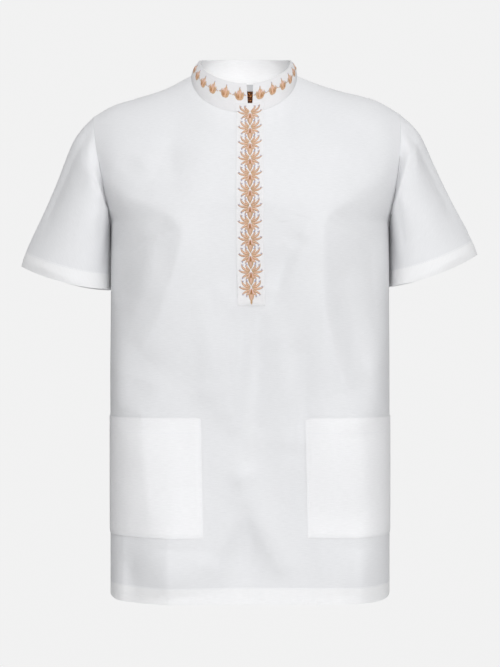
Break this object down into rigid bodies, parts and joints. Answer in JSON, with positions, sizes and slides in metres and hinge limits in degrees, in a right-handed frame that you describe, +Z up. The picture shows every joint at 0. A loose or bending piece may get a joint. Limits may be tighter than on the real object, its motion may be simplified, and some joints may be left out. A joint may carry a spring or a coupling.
{
  "type": "fatua",
  "caption": "Short-sleeved fatua in white cotton with a stand collar, an embroidered half placket and large front pockets, in its worn, hollow form.",
  "frame": {"origin": "on the coronal plane at neck-base height, midway between the shoulders at the line of the front slit, where the wearer's shoulders hold the garment up", "axes": "+Z up the garment towards the collar, -Y out of the front, +X towards the garment's own left sleeve (the viewer's right from the front)"},
  "size_m": [0.6892, 0.2704, 0.823],
  "materials": {
    "body_cotton": "matte plain-woven cotton",
    "double_cotton": "matte plain-woven cotton, two layers",
    "embroidered_cotton": "matte cotton with satin-stitch embroidery",
    "label_tape": "plain woven tape"
  },
  "bodies": {
    "root": {"front": "body_cotton", "back": "body_cotton", "sleeve_left": "body_cotton", "sleeve_right": "body_cotton", "placket_under": "body_cotton", "collar": "double_cotton", "pocket_left": "double_cotton", "pocket_right": "double_cotton", "placket": "embroidered_cotton", "label": "label_tape"}
  },
  "joints": []
}
